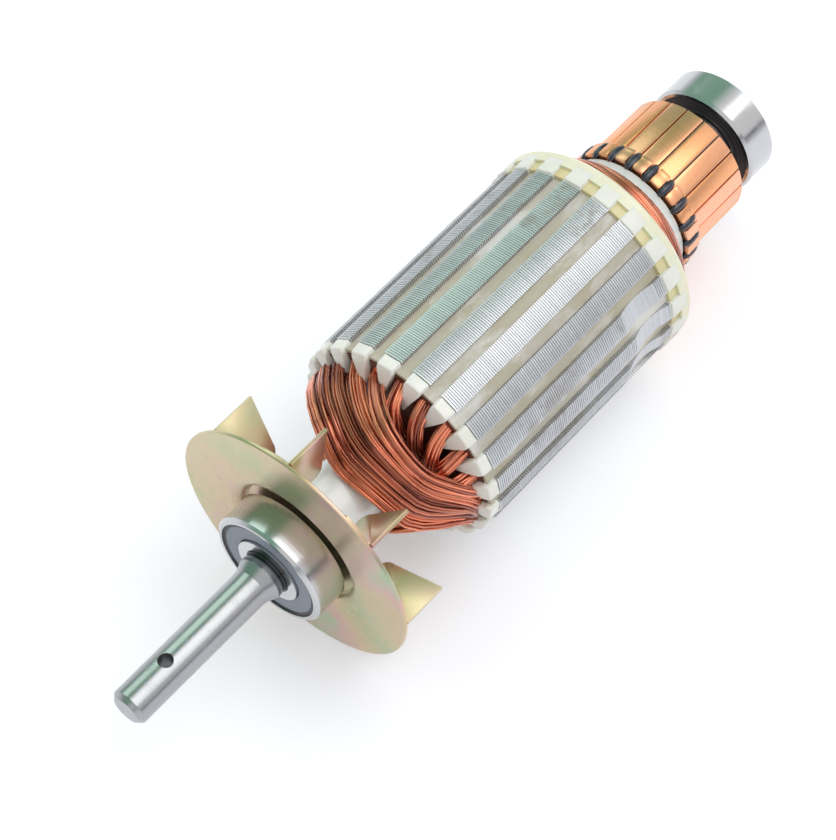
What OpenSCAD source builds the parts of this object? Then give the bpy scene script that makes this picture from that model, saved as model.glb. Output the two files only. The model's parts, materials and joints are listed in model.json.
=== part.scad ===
// Wound motor armature on its shaft, with commutator, cooling fan and two ball bearings.
// Millimetres. X runs along the shaft towards the output end, Z is up.
// The origin is the centre of the drive-end bearing.

/* [Shaft] */
// radius of the shaft under the core
shaft_r = 6; // [5:0.1:8]
// radius of the output stub
output_r = 4; // [3:0.1:4.6]
// position of the output tip
output_tip_x = 42.6; // [36:0.2:60]
// position where the taper ends and the thin stub begins
taper_end_x = 10; // [8:0.2:14]
// radius of the pin hole across the output stub
cross_hole_r = 1.5; // [1:0.1:2]
// position of the pin hole across the output stub
cross_hole_x = 31.6; // [20:0.2:36]

/* [Bearings] */
// bore radius of both bearings
bearing_bore_r = 5; // [4:0.1:5.6]
// outer radius of both bearings
bearing_r = 13; // [12:0.1:14]
// width of both bearings
bearing_width = 8; // [6:0.1:10]
// number of balls in each bearing
ball_count = 7; // [6:1:8]
// radius of one ball
ball_r = 2.38; // [2:0.02:2.5]
// radius of the circle through the ball centres
ball_pitch_r = 9; // [8.6:0.1:9.4]
// distance from the end of the bars to the centre of the bearing behind them
rear_bearing_gap = 9; // [7:0.1:12]

/* [Fan] */
// outer radius of the fan disc
fan_r = 28.2; // [26:0.2:32]
// position of the front of the fan rim
fan_front_x = -3.4; // [-3.6:0.1:-2.8]
// thickness of the fan sheet metal
fan_sheet = 0.8; // [0.6:0.05:1]
// inner radius of the recess that takes the bearing
fan_recess_r = 14.3; // [14:0.1:15]
// depth of the recess
fan_recess_depth = 2.2; // [2:0.1:3]
// number of bent blades
blade_count = 8; // [6:1:10]
// length of a blade along the shaft at its outer edge
blade_length = 10.4; // [8:0.2:13]
// radius where a blade begins
blade_inner_r = 15.6; // [15:0.1:18]

/* [Core] */
// radius of the stack of laminations
core_r = 24; // [23:0.1:26]
// length of the stack
core_length = 54; // [44:0.5:60]
// position of the drive-end face of the stack
core_front_x = -36.6; // [-40:0.2:-35]
// number of slots and teeth
slot_count = 21; // [15:1:24]
// width of the opening of a slot at the rim
slot_opening = 2.75; // [2:0.05:3.2]
// radius of the bottom of a slot
slot_bottom_r = 13; // [12:0.1:14]
// depth of the neck between two tooth tips
tip_depth = 1.8; // [1.2:0.1:2.2]
// width of a slot at its bottom
slot_bottom_width = 1.9; // [1.4:0.1:2.2]
// width of a slot under the tooth tips
slot_top_width = 4.1; // [3.6:0.1:4.4]
// angle of the first tooth about the shaft
tooth_angle = 114.8; // [0:0.1:360]
// radius of the milling cutter that took the balancing metal away
balance_cutter_r = 13; // [8:0.5:20]
// deepest point of the balancing cuts below the rim
balance_depth = 1.1; // [0.4:0.1:1.4]

/* [Insulation] */
// thickness of the slot liners
liner_sheet = 0.25; // [0.2:0.05:0.4]
// how far the liners stand out of the stack at each end
liner_overhang = 1.6; // [1:0.1:1.8]
// thickness of the strips that close the slots
wedge_sheet = 0.7; // [0.5:0.05:0.9]
// thickness of the moulded plate under the blocks at the drive end
end_plate = 1.9; // [1.4:0.1:2.4]
// height of a block above the plate at its inner point
block_rise = 2.4; // [1.5:0.1:3]
// radius of the inner point of a block
block_point_r = 16.6; // [16:0.1:18]
// length of the pads at the commutator end
pad_length = 2.9; // [2:0.1:4]
// length of the end ring behind the pads
ring_length = 3.4; // [2.5:0.1:4.5]
// how far the end ring stands out beyond the stack
ring_proud = 0.4; // [0:0.1:1]
// radius of the white sleeve on the shaft
sleeve_r = 7.4; // [7:0.1:8]

/* [Winding] */
// reach of the drive-end winding head beyond the stack
head_reach = 17; // [14:0.2:19]
// half the width of one bundle of wires
bundle_r = 1.55; // [1.2:0.05:1.7]
// depth below the rim at which the middle of a bundle leaves its slot
bundle_depth = 4; // [3.6:0.1:5]
// distance from the stack to the hook end of the bars
tail_length = 16.8; // [15:0.2:22]

/* [Commutator] */
// radius of the running surface of the bars
commutator_r = 14.4; // [13:0.1:15]
// length of the bars
bar_length = 19.8; // [16:0.2:24]
// width of the slit between two bars
bar_slit = 0.5; // [0.3:0.05:0.8]
// depth of the open slit above the insulation
slit_depth = 0.8; // [0.5:0.1:1.2]
// inner radius of the bars
bar_inner_r = 9.6; // [9:0.1:11]
// length of a hook along the bar
hook_length = 4; // [3:0.1:5]
// height of a hook above the running surface
hook_height = 1.1; // [0.8:0.1:1.5]
// angle of the first slit about the shaft
slit_angle = 61; // [0:0.1:360]
// number of wires led to each hook
leads_per_hook = 2; // [1:1:2]

/* [Hidden] */

seat_gap = 0.02;
race_gap = 0.03;
chamfer = 0.6;
past = 1;
slot_step = 360 / slot_count;
slot_angle = tooth_angle - slot_step / 2;
core_back_x = core_front_x - core_length;
half_bearing = bearing_width / 2;
fan_floor_x = fan_front_x - fan_recess_depth;
fan_back_x = fan_floor_x - fan_sheet;
hub_back_x = fan_back_x - fan_sheet;
slot_top_r = core_r - tip_depth;
ring_r = core_r + ring_proud;
bundle_slot_r = core_r - bundle_depth;
tail_r = slot_top_r - 1.6;
block_shoulder_r = core_r - 1.6;
block_waist_r = core_r - 3.8;
plate_front_x = core_front_x + end_plate;
pad_back_x = core_back_x - pad_length;
ring_back_x = pad_back_x - ring_length;
bar_front_x = core_back_x - tail_length;
bar_back_x = bar_front_x - bar_length;
rear_bearing_x = bar_back_x - rear_bearing_gap;
hub_end_x = bar_back_x - 1;
head_front_x = core_front_x + head_reach;
hook_width = 2 * PI * commutator_r / slot_count * 0.6;
hook_fold = 0.8;
hook_tunnel = 0.76;
dive_turns = [-30, -36, -36, -22, -8];
sleeve_back_x = plate_front_x + seat_gap;
inner_land_r = 7.4;
outer_land_r = 10.9;
seal_recess_r = 11.7;
seal_sheet = 0.5;
seal_inset = 0.35;
cage_half = 2.8;

// ---- helpers ----
// solid of revolution about X from [radius, x] points
module turned(points) {
    rotate([0, 90, 0])
        rotate_extrude($fn = 120)
            polygon(points);
}

// round bar or tube along X between two positions
module tube(x0, x1, outer_r, inner_r = 0) {
    turned([[inner_r, x0], [outer_r, x0], [outer_r, x1], [inner_r, x1]]);
}

// extrusion along X of an outline whose first axis is Y and second is Z
module along_x(x0, x1) {
    translate([x0, 0, 0])
        rotate([90, 0, 90])
            linear_extrude(x1 - x0)
                children();
}

// copies about the shaft
module around(count, first) {
    for (i = [0 : count - 1])
        rotate([first + i * 360 / count, 0, 0])
            children();
}

// ---- shaft ----
module shaft() {
    bore_r = bearing_bore_r - seat_gap;
    rear_in_x = rear_bearing_x + half_bearing;
    rear_end_x = rear_bearing_x - half_bearing - 0.5;
    color([0.78, 0.79, 0.8])
        difference() {
            turned([
                [0, rear_end_x],
                [bore_r - 0.5, rear_end_x],
                [bore_r, rear_end_x + 0.5],
                [bore_r, rear_in_x],
                [shaft_r, rear_in_x],
                [shaft_r, -half_bearing],
                [bore_r, -half_bearing],
                [bore_r, half_bearing + 0.5],
                [bore_r - 0.4, half_bearing + 0.5],
                [bore_r - 0.4, half_bearing + 1.1],
                [bore_r, half_bearing + 1.1],
                [bore_r, half_bearing + 2.2],
                [output_r + 0.1, taper_end_x - 1.6],
                [output_r, taper_end_x],
                [output_r, output_tip_x - 1],
                [output_r - 1, output_tip_x],
                [0, output_tip_x]
            ]);
            translate([cross_hole_x, 0, 0])
                cylinder(r = cross_hole_r, h = 2 * output_r + 2 * past, center = true, $fn = 48);
        }
}

// ---- bearings ----
// places its children at both bearings
module at_both() {
    children();
    translate([rear_bearing_x, 0, 0])
        children();
}

// torus cut by the balls in a ring
module raceway() {
    rotate([0, 90, 0])
        rotate_extrude($fn = 120)
            translate([ball_pitch_r, 0])
                circle(r = ball_r + race_gap, $fn = 48);
}

module inner_ring() {
    difference() {
        turned([
            [bearing_bore_r, -half_bearing + 0.3],
            [bearing_bore_r + 0.3, -half_bearing],
            [inner_land_r, -half_bearing],
            [inner_land_r, half_bearing],
            [bearing_bore_r + 0.3, half_bearing],
            [bearing_bore_r, half_bearing - 0.3]
        ]);
        raceway();
    }
}

module outer_ring() {
    difference() {
        turned([
            [outer_land_r, -half_bearing + past],
            [seal_recess_r, -half_bearing + past],
            [seal_recess_r, -half_bearing],
            [bearing_r - chamfer, -half_bearing],
            [bearing_r, -half_bearing + chamfer],
            [bearing_r, half_bearing - chamfer],
            [bearing_r - chamfer, half_bearing],
            [seal_recess_r, half_bearing],
            [seal_recess_r, half_bearing - past],
            [outer_land_r, half_bearing - past]
        ]);
        raceway();
    }
}

module balls() {
    around(ball_count, 0)
        translate([0, ball_pitch_r, 0])
            sphere(r = ball_r, $fn = 48);
}

module cage() {
    difference() {
        tube(-cage_half, cage_half, ball_pitch_r + 0.8, ball_pitch_r - 0.8);
        around(ball_count, 0)
            translate([0, ball_pitch_r, 0])
                rotate([90, 0, 0])
                    cylinder(r = ball_r + 0.06, h = 4, center = true, $fn = 48);
    }
}

// two seals let into the recesses of the outer ring
module seals() {
    out_x = half_bearing - seal_inset;
    in_x = out_x - seal_sheet;
    seal_r = seal_recess_r - seat_gap;
    lip_r = inner_land_r + 0.15;
    for (side = [0, 1])
        mirror([side, 0, 0])
            turned([
                [lip_r, in_x - 0.1],
                [seal_r, in_x],
                [seal_r, out_x],
                [lip_r + 0.7, out_x],
                [lip_r, out_x - 0.2]
            ]);
}

module bearing_inner_rings() {
    color([0.85, 0.86, 0.87])
        at_both()
            inner_ring();
}

module drive_outer_ring() {
    color([0.72, 0.73, 0.75])
        outer_ring();
}

module comm_outer_ring() {
    color([0.72, 0.73, 0.75])
        translate([rear_bearing_x, 0, 0])
            outer_ring();
}

module drive_balls() {
    color([0.8, 0.8, 0.82])
        balls();
}

module comm_balls() {
    color([0.8, 0.8, 0.82])
        translate([rear_bearing_x, 0, 0])
            balls();
}

module drive_cage() {
    color([0.6, 0.5, 0.3])
        cage();
}

module comm_cage() {
    color([0.6, 0.5, 0.3])
        translate([rear_bearing_x, 0, 0])
            cage();
}

module drive_seals() {
    color([0.4, 0.45, 0.5])
        seals();
}

module comm_seals() {
    color([0.12, 0.12, 0.13])
        translate([rear_bearing_x, 0, 0])
            seals();
}

// ---- fan ----
module fan_disc() {
    bore = shaft_r + seat_gap;
    wall_r = fan_recess_r + fan_sheet;
    color([0.75, 0.66, 0.4])
        turned([
            [bore, fan_back_x],
            [wall_r, fan_back_x],
            [wall_r + 0.6, fan_front_x - fan_sheet],
            [fan_r, fan_front_x - fan_sheet],
            [fan_r, fan_front_x],
            [fan_recess_r + 0.6, fan_front_x],
            [fan_recess_r, fan_floor_x],
            [bore, fan_floor_x]
        ]);
}

// outline of one blade in radius and distance behind the disc; it starts inside the sheet
module blade_outline() {
    nose_r = 2.2;
    tip_r = fan_r - 0.4;
    start = fan_sheet / 2;
    nose_x = blade_length * 0.8 - nose_r;
    polygon(concat(
        [
            [blade_inner_r + 0.45, start],
            [tip_r, start],
            [tip_r, blade_length]
        ],
        [for (turn = [90 : 15 : 180])
            [blade_inner_r + nose_r * (1 + cos(turn)), nose_x + nose_r * sin(turn)]],
        [[blade_inner_r, fan_recess_depth + start]]
    ));
}

module fan_blades() {
    bore = shaft_r + seat_gap;
    cup_r = fan_recess_r + fan_sheet + seat_gap;
    plate_x = fan_front_x - fan_sheet - seat_gap;
    cup_x = fan_back_x - seat_gap;
    arm_width = 7;
    color([0.77, 0.68, 0.42])
        union() {
            turned([
                [bore, cup_x - fan_sheet],
                [cup_r + fan_sheet, cup_x - fan_sheet],
                [cup_r + fan_sheet + 0.6, plate_x - 0.1],
                [cup_r + 0.6, plate_x - 0.1],
                [cup_r, cup_x],
                [bore, cup_x]
            ]);
            along_x(plate_x - fan_sheet, plate_x)
                difference() {
                    union() {
                        circle(r = cup_r + 4, $fn = 120);
                        intersection() {
                            circle(r = fan_r - 1.2, $fn = 120);
                            for (i = [0 : blade_count - 1])
                                rotate(i * 360 / blade_count)
                                    translate([cup_r + 2.5, fan_sheet / 2])
                                        square([fan_r, arm_width]);
                        }
                    }
                    circle(r = cup_r + 0.9, $fn = 120);
                }
            around(blade_count, 0)
                translate([plate_x, 0, 0])
                    rotate([0, 0, 90])
                        linear_extrude(fan_sheet)
                            blade_outline();
        }
}

// ---- core ----
// outline of one slot pointing along +Y, shrunk on all sides by a margin
module slot_outline(margin, mouth) {
    half_low = slot_bottom_width / 2 - margin;
    half_high = slot_top_width / 2 - margin;
    low = slot_bottom_r + margin;
    high = slot_top_r - margin;
    polygon([
        [low, -half_low],
        [high, -half_high],
        [high, half_high],
        [low, half_low]
    ]);
    if (mouth)
        translate([high - past, -slot_opening / 2])
            square([core_r + past * 2 - high, slot_opening]);
}

// one scooped cut left by balancing, seen from the end of the stack
module balance_cut(tooth, x, tilt) {
    rotate([tooth_angle - tooth * slot_step, 0, 0])
        translate([x, core_r - balance_depth + balance_cutter_r, -slot_opening - past])
            rotate([0, tilt, 0])
                cylinder(r = balance_cutter_r, h = 2 * (slot_opening + past), $fn = 96);
}

module lamination_stack() {
    color([0.72, 0.73, 0.75])
        difference() {
            along_x(core_back_x, core_front_x)
                difference() {
                    circle(r = core_r, $fn = 240);
                    circle(r = shaft_r + seat_gap, $fn = 96);
                    for (i = [0 : slot_count - 1])
                        rotate(slot_angle + i * slot_step)
                            slot_outline(0, true);
                }
            balance_cut(5, core_back_x + 7.5, 0);
            balance_cut(6, core_back_x + 6, 0);
            balance_cut(7, core_back_x + 8, 0);
        }
}

// ---- insulation ----
module slot_liners() {
    color([0.86, 0.82, 0.66])
        along_x(core_back_x - liner_overhang, core_front_x + liner_overhang)
            for (i = [0 : slot_count - 1])
                rotate(slot_angle + i * slot_step)
                    difference() {
                        slot_outline(seat_gap, false);
                        slot_outline(liner_sheet, false);
                    }
}

module slot_wedges() {
    color([0.62, 0.58, 0.42])
        along_x(ring_back_x + 0.6, plate_front_x - 0.1)
            for (i = [0 : slot_count - 1])
                rotate(slot_angle + i * slot_step)
                    translate([slot_top_r + seat_gap, -slot_opening / 2 + seat_gap])
                        square([wedge_sheet, slot_opening - 2 * seat_gap]);
}

// moulded star that covers the end faces of the teeth
module star(x0, x1, outer_r) {
    margin = liner_sheet * 0.8;
    along_x(x0, x1)
        difference() {
            circle(r = outer_r, $fn = 200);
            circle(r = shaft_r + seat_gap, $fn = 96);
            for (i = [0 : slot_count - 1])
                rotate(slot_angle + i * slot_step) {
                    slot_outline(-seat_gap, false);
                    translate([slot_top_r - past, -slot_opening / 2])
                        square([core_r, slot_opening]);
                }
        }
}

// kite-shaped outline of the block on one tooth
module block_outline() {
    polygon([
        [core_r + past, -1.8],
        [core_r + past, 1.8],
        [block_shoulder_r, 2.1],
        [block_waist_r, 1.35],
        [block_point_r, 0.35],
        [block_point_r, -0.35],
        [block_waist_r, -1.35],
        [block_shoulder_r, -2.1]
    ]);
}

module drive_end_insulator() {
    crest_x = plate_front_x + block_rise;
    color([0.93, 0.92, 0.86])
        union() {
            star(core_front_x, plate_front_x, core_r - 0.05);
            intersection() {
                along_x(plate_front_x - 0.5, crest_x + past)
                    for (i = [0 : slot_count - 1])
                        rotate(tooth_angle + i * slot_step)
                            block_outline();
                turned([
                    [block_point_r - past, plate_front_x - 0.5],
                    [core_r - 0.3, plate_front_x - 0.5],
                    [core_r - 0.3, plate_front_x + 0.1],
                    [core_r - 0.9, plate_front_x + 0.6],
                    [block_point_r + 1.6, crest_x],
                    [block_point_r - past, crest_x - 0.2]
                ]);
            }
        }
}

module comm_end_insulator() {
    color([0.95, 0.95, 0.92])
        star(pad_back_x, core_back_x, core_r - 0.05);
}

module end_ring() {
    color([0.88, 0.87, 0.66])
        difference() {
            turned([
                [slot_top_r - 1.2, ring_back_x],
                [ring_r - 0.8, ring_back_x],
                [ring_r, ring_back_x + 0.8],
                [ring_r, pad_back_x],
                [slot_top_r - 1.2, pad_back_x]
            ]);
            along_x(ring_back_x + 0.6, core_back_x)
                for (i = [0 : slot_count - 1])
                    rotate(slot_angle + i * slot_step)
                        translate([slot_top_r, -slot_opening / 2])
                            square([wedge_sheet + 2 * seat_gap, slot_opening]);
        }
}

module shaft_sleeve() {
    color([0.96, 0.96, 0.95])
        turned([
            [shaft_r + seat_gap, sleeve_back_x],
            [sleeve_r, sleeve_back_x],
            [sleeve_r, hub_back_x - 0.5],
            [sleeve_r - 0.4, hub_back_x - seat_gap * 2],
            [shaft_r + seat_gap, hub_back_x - seat_gap * 2]
        ]);
}

// ---- winding ----
module coil_sides() {
    color([0.62, 0.3, 0.2])
        along_x(pad_back_x, plate_front_x)
            for (i = [0 : slot_count - 1])
                rotate(slot_angle + i * slot_step)
                    slot_outline(liner_sheet + seat_gap, false);
}

function unit(v) = v / norm(v);
function at_angle(x, r, a) = [x, r * cos(a), r * sin(a)];
function slot_at(i) = slot_angle + i * slot_step;

// centre line of a bundle that arches from one slot round the shaft to another
function arch(from, to, mid_r, mid_x, steps) = [
    for (i = [0 : steps])
        let (
            t = i / steps,
            bend = sin(180 * t),
            a = from + (to - from) * (t - 0.13 * sin(360 * t)),
            r = bundle_slot_r - (bundle_slot_r - mid_r) * pow(bend, 1.3),
            x = core_front_x + 1 + (mid_x - core_front_x - 1) * pow(bend, 0.55)
        )
        at_angle(x, r, a)
];

// centre line of a bundle that dives from a slot to the shaft under the arches
function dive(from, turn, steps) = [
    for (i = [0 : steps])
        let (
            t = i / steps,
            a = from + turn * pow(t, 1.5),
            r = bundle_slot_r - (bundle_slot_r - 10) * pow(t, 1.3),
            x = core_front_x + 1 + 6.4 * pow(sin(150 * t), 0.6)
        )
        at_angle(x, r, a)
];

// round rope along a list of points
module rope(points, radius) {
    sides = 10;
    last = len(points) - 1;
    rings = [
        for (i = [0 : last])
            let (
                go = unit(points[min(i + 1, last)] - points[max(i - 1, 0)]),
                out = unit([1, points[i][1] * 0.04, points[i][2] * 0.04]),
                side = unit(cross(go, out)),
                rise = cross(side, go)
            )
            for (j = [0 : sides - 1])
                points[i] + radius * (cos(j * 360 / sides) * side + sin(j * 360 / sides) * rise)
    ];
    walls = [
        for (i = [0 : last - 1])
            for (j = [0 : sides - 1])
                let (k = (j + 1) % sides)
                each [
                    [i * sides + j, i * sides + k, (i + 1) * sides + k],
                    [i * sides + j, (i + 1) * sides + k, (i + 1) * sides + j]
                ]
    ];
    first_cap = [[for (j = [sides - 1 : -1 : 0]) j]];
    last_cap = [[for (j = [0 : sides - 1]) last * sides + j]];
    polyhedron(rings, concat(walls, first_cap, last_cap), convexity = 6);
}

module drive_end_winding() {
    low_x = plate_front_x + seat_gap;
    inner = sleeve_r + seat_gap;
    color([0.7, 0.33, 0.24])
        difference() {
            union() {
                rotate([0, 90, 0])
                    rotate_extrude($fn = 64)
                        polygon([
                            [inner, low_x],
                            [bundle_slot_r + 0.4, low_x],
                            [bundle_slot_r - 0.8, low_x + 3.2],
                            [15.5, low_x + 5.4],
                            [11.5, low_x + 7],
                            [inner, low_x + 7.8]
                        ]);
                for (i = [0 : 4])
                    rope(arch(slot_at(i), slot_at(-6 - i), 13 - 0.95 * i, head_front_x - 10.4 + 2.3 * i, 16), bundle_r);
                for (i = [0 : 3])
                    rope(arch(slot_at(5 + i), slot_at(12 + i), 12.6 - 0.8 * i, head_front_x - 4.6 + i, 12), bundle_r);
                for (i = [1 : 5])
                    rope(dive(slot_at(-i), dive_turns[i - 1], 8), bundle_r);
                for (i = [9 : 11])
                    rope(dive(slot_at(i), -20, 8), bundle_r);
            }
            tube(core_front_x - past * 4, output_tip_x, inner);
            tube(core_front_x - past * 4, low_x, core_r * 2);
            along_x(core_front_x, plate_front_x + block_rise + 0.2)
                for (i = [0 : slot_count - 1])
                    rotate(tooth_angle + i * slot_step)
                        polygon([
                            [core_r + past, -2.5],
                            [core_r + past, 2.5],
                            [block_shoulder_r, 2.3],
                            [block_waist_r, 1.4],
                            [block_point_r - 0.2, 0.42],
                            [block_point_r - 0.2, -0.42],
                            [block_waist_r, -1.4],
                            [block_shoulder_r, -2.3]
                        ]);
        }
}

module comm_end_winding() {
    color([0.68, 0.32, 0.23])
        turned([
            [shaft_r + seat_gap, bar_front_x + 0.7],
            [commutator_r - 1, bar_front_x + 0.7],
            [commutator_r + 0.6, bar_front_x + 3.9],
            [commutator_r + 2.2, bar_front_x + 4.3],
            [tail_r - 2, bar_front_x + 6.6],
            [tail_r - 0.8, bar_front_x + 9.4],
            [tail_r, ring_back_x + 0.9],
            [tail_r, pad_back_x - seat_gap],
            [shaft_r + seat_gap, pad_back_x - seat_gap]
        ]);
}

module lead_band() {
    color([0.85, 0.87, 0.85])
        turned([
            [commutator_r - 1 + seat_gap, bar_front_x + 0.7],
            [commutator_r + 0.2, bar_front_x + 0.7],
            [commutator_r + 1.7, bar_front_x + 3.5],
            [commutator_r + 1.5, bar_front_x + 3.88],
            [commutator_r + 0.6 + seat_gap, bar_front_x + 3.88]
        ]);
}

module lead_wires() {
    wire_r = hook_tunnel / 2 - seat_gap;
    color([0.66, 0.3, 0.2])
        around(slot_count, slit_angle + slot_step / 2)
            for (i = [1 : leads_per_hook])
                translate([bar_front_x - hook_fold - i * hook_tunnel, commutator_r + hook_tunnel / 2, 0])
                    cylinder(r = wire_r, h = hook_width + 0.2, center = true, $fn = 24);
}

// ---- commutator ----
module commutator_bars() {
    color([0.85, 0.55, 0.35])
        difference() {
            union() {
                along_x(bar_back_x, bar_front_x)
                    difference() {
                        circle(r = commutator_r, $fn = 240);
                        circle(r = bar_inner_r, $fn = 120);
                        for (i = [0 : slot_count - 1])
                            rotate(slit_angle + i * slot_step)
                                translate([0, -bar_slit / 2])
                                    square([commutator_r + past, bar_slit]);
                    }
                around(slot_count, slit_angle + slot_step / 2)
                    translate([bar_front_x - hook_length, commutator_r - 0.5, -hook_width / 2])
                        cube([hook_length, hook_height + 0.5, hook_width]);
            }
            around(slot_count, slit_angle + slot_step / 2)
                translate([bar_front_x - hook_length - past, commutator_r, -hook_width])
                    cube([hook_length + past - hook_fold, hook_tunnel, hook_width * 2]);
        }
}

module commutator_hub() {
    core = bar_inner_r - seat_gap;
    lump_width = 2 * PI * commutator_r / slot_count * 0.34;
    color([0.1, 0.11, 0.16])
        union() {
            turned([
                [shaft_r + seat_gap, hub_end_x],
                [core + 1.4, hub_end_x],
                [core + 1.8, bar_back_x - seat_gap],
                [core, bar_back_x - seat_gap],
                [core, bar_front_x + 0.5],
                [shaft_r + seat_gap, bar_front_x + 0.5]
            ]);
            around(slot_count, slit_angle)
                translate([bar_back_x, core - 0.3, -bar_slit / 2 + seat_gap])
                    cube([bar_length, commutator_r - slit_depth - core + 0.3, bar_slit - 2 * seat_gap]);
            around(slot_count, slit_angle) {
                translate([bar_front_x - hook_length + 0.3, core - 0.3, -bar_slit / 2 + seat_gap])
                    cube([hook_length - 0.3, commutator_r + 0.4 - core, bar_slit - 2 * seat_gap]);
                translate([bar_front_x - hook_length + 0.3, commutator_r + seat_gap, -lump_width / 2])
                    cube([hook_length - 0.3, 0.7, lump_width]);
            }
        }
}

shaft();
bearing_inner_rings();
drive_outer_ring();
comm_outer_ring();
drive_balls();
comm_balls();
drive_cage();
comm_cage();
drive_seals();
comm_seals();
fan_disc();
fan_blades();
shaft_sleeve();
lamination_stack();
slot_liners();
slot_wedges();
drive_end_insulator();
comm_end_insulator();
end_ring();
coil_sides();
drive_end_winding();
comm_end_winding();
lead_wires();
lead_band();
commutator_bars();
commutator_hub();
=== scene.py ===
import json
import math
import random

import bmesh
import bpy
from mathutils import Matrix, Vector

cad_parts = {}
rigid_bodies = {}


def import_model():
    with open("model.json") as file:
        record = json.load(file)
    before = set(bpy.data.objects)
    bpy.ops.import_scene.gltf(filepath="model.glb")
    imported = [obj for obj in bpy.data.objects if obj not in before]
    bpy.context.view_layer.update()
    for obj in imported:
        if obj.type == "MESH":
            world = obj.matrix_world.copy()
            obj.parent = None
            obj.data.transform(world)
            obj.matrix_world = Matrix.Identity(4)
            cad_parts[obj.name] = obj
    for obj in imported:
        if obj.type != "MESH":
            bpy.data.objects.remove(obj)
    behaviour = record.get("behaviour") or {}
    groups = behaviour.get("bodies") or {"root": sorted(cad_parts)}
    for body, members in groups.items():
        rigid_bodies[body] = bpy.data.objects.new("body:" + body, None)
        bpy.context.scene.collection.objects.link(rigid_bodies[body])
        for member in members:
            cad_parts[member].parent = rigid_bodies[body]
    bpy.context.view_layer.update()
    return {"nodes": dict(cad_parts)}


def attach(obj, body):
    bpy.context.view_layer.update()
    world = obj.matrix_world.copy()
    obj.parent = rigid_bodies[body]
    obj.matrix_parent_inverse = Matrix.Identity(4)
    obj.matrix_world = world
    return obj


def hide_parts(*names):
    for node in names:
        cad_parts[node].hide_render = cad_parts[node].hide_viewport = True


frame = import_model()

mm = 0.001
nodes = frame["nodes"]

# places that every piece shares, in millimetres and degrees about the shaft
core = dict(teeth=21, toothAngle=114.8, rim=24.0, front=-36.6, back=-90.6, plate=1.9)
slotStep = 360 / core["teeth"]
slotAngle = core["toothAngle"] - slotStep / 2
plateFront = core["front"] + core["plate"]


def slotAt(i):
    return slotAngle + i * slotStep


def ringPoint(x, r, angle, aside=0.0):
    a = math.radians(angle)
    return (x, r * math.cos(a) - aside * math.sin(a), r * math.sin(a) + aside * math.cos(a))


# shader maths on sockets
class Value:
    def __init__(self, finish, socket):
        self.finish = finish
        self.socket = socket

    def op(self, operation, *others):
        return self.finish.node("ShaderNodeMath", dict(operation=operation), dict(enumerate((self,) + others)))

    def __add__(self, other):
        return self.op("ADD", other)

    __radd__ = __add__

    def __mul__(self, other):
        return self.op("MULTIPLY", other)

    def __sub__(self, other):
        return self.op("SUBTRACT", other)

    def __rsub__(self, other):
        return (self * -1) + other

    def __truediv__(self, other):
        return self.op("DIVIDE", other)

    def __pow__(self, other):
        return self.op("POWER", other)

    def above(self, level, soft):
        return ((self - level) / soft + 0.5).clamped()

    def clamped(self):
        return self.op("MAXIMUM", 0.0).op("MINIMUM", 1.0)


class Finish:
    def __init__(self, name, **constants):
        self.material = bpy.data.materials.new(name)
        self.material.use_nodes = True
        self.tree = self.material.node_tree
        self.shader = self.tree.nodes["Principled BSDF"]
        self.coords = None
        for socket, value in constants.items():
            self.shader.inputs[socket].default_value = value

    def node(self, kind, settings=None, sockets=None, out=0):
        made = self.tree.nodes.new(kind)
        for key, value in (settings or {}).items():
            if key == "stops":
                ramp = made.color_ramp
                while len(ramp.elements) < len(value):
                    ramp.elements.new(0.5)
                for element, (place, colour) in zip(ramp.elements, value):
                    element.position = place
                    element.color = (*colour, 1)
            else:
                setattr(made, key, value)
        for key, value in (sockets or {}).items():
            self.feed(made.inputs[key], value)
        return Value(self, made.outputs[out])

    def feed(self, socket, value):
        if isinstance(value, Value):
            self.tree.links.new(value.socket, socket)
        elif isinstance(value, tuple) and socket.type == "RGBA":
            socket.default_value = (*value, 1)
        else:
            socket.default_value = value

    def place(self, scale=(1, 1, 1)):
        if self.coords is None:
            self.coords = self.node("ShaderNodeTexCoord", out=3)
        return self.node("ShaderNodeMapping", {}, {"Vector": self.coords, "Scale": scale})

    def noise(self, scale, detail=3.0, rough=0.55, stretch=(1, 1, 1)):
        return self.node("ShaderNodeTexNoise", {}, {
            "Vector": self.place(stretch), "Scale": scale, "Detail": detail, "Roughness": rough})

    def lathe(self, along, rings, detail=4.0):
        return self.node("ShaderNodeTexNoise", dict(noise_dimensions="1D"), {
            "W": along * rings, "Scale": 1.0, "Detail": detail})

    def xyz(self):
        split = self.tree.nodes.new("ShaderNodeSeparateXYZ")
        self.tree.links.new(self.place().socket, split.inputs[0])
        return [Value(self, s) for s in split.outputs]

    def radius(self):
        x, y, z = self.xyz()
        return (y * y + z * z) ** 0.5

    def mix(self, factor, a, b):
        return self.node("ShaderNodeMix", dict(data_type="RGBA"), {0: factor, 6: a, 7: b}, out=2)

    def ramp(self, value, *stops):
        return self.node("ShaderNodeValToRGB", dict(stops=stops), {0: value})

    def attribute(self, name):
        return self.node("ShaderNodeAttribute", dict(attribute_name=name), out=2)

    def colour(self, value):
        self.feed(self.shader.inputs["Base Color"], value)

    def rough(self, value):
        self.feed(self.shader.inputs["Roughness"], value)

    def bump(self, height, strength=0.3, distance=0.0002):
        made = self.node("ShaderNodeBump", {}, {"Strength": strength, "Distance": distance, "Height": height})
        self.feed(self.shader.inputs["Normal"], made)
        return self.material


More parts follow.
